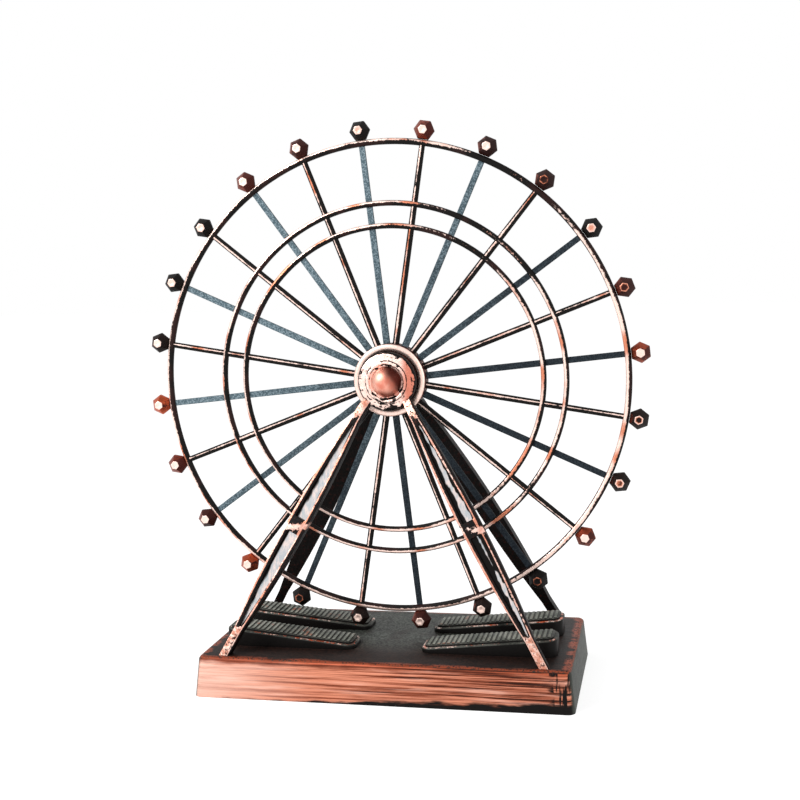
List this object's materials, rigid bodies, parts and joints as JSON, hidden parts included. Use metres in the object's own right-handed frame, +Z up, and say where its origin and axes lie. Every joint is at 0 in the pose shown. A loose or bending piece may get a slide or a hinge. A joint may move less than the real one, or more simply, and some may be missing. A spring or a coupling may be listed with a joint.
{
  "type": "observation wheel ornament",
  "caption": "Tabletop observation wheel with spokes, rings and faceted capsules, turning by hand on an axle between two leaning A-frames on a plinth with ribbed boarding ramps.",
  "frame": {"origin": "on the table, under the middle of the plinth", "axes": "+Z up, +Y from front to back along the axle, +X to the right seen from the front"},
  "size_m": [0.1194, 0.0446, 0.1308],
  "materials": {
    "plinth_metal": "antique copper, brushed over black patina",
    "ramp_metal": "antique copper, dark grey-green patina with burnished lips",
    "frame_metal": "antique copper, burnished ridges over black patina",
    "polished_cap": "polished copper",
    "washer_steel": "plain",
    "hub_metal": "antique copper, burnished pale with black in the recesses",
    "rod_spoke_metal": "black patina with burnished copper highlights",
    "flat_spoke_metal": "matte blue-grey patina",
    "ring_metal": "black patina with burnished copper highlights",
    "capsule_metal": "burnished copper faces over black patina"
  },
  "bodies": {
    "stand": {"base": "plinth_metal", "front_left_ramp": "ramp_metal", "front_right_ramp": "ramp_metal", "rear_left_ramp": "ramp_metal", "rear_right_ramp": "ramp_metal", "front_frame": "frame_metal", "rear_frame": "frame_metal", "axle": "polished_cap", "axle_end_cap": "polished_cap", "front_washer": "washer_steel", "rear_washer": "washer_steel"},
    "wheel": {"hub_barrel": "hub_metal", "front_hub_disc": "hub_metal", "rear_hub_disc": "hub_metal", "rod_spokes": "rod_spoke_metal", "flat_spokes": "flat_spoke_metal", "outer_ring": "ring_metal", "middle_ring": "ring_metal", "inner_ring": "ring_metal", "capsule_01": "capsule_metal", "capsule_02": "capsule_metal", "capsule_03": "capsule_metal", "capsule_04": "capsule_metal", "capsule_05": "capsule_metal", "capsule_06": "capsule_metal", "capsule_07": "capsule_metal", "capsule_08": "capsule_metal", "capsule_09": "capsule_metal", "capsule_10": "capsule_metal", "capsule_11": "capsule_metal", "capsule_12": "capsule_metal", "capsule_13": "capsule_metal", "capsule_14": "capsule_metal", "capsule_15": "capsule_metal", "capsule_16": "capsule_metal", "capsule_17": "capsule_metal", "capsule_18": "capsule_metal", "capsule_19": "capsule_metal", "capsule_20": "capsule_metal", "capsule_21": "capsule_metal", "capsule_22": "capsule_metal", "capsule_23": "capsule_metal", "capsule_24": "capsule_metal"}
  },
  "joints": [
    {"name": "wheel_spin", "type": "hinge", "parent": "stand", "child": "wheel", "pos_m": [0, 0, 0.07109], "axis": [0, 1, 0], "continuous": true}
  ]
}
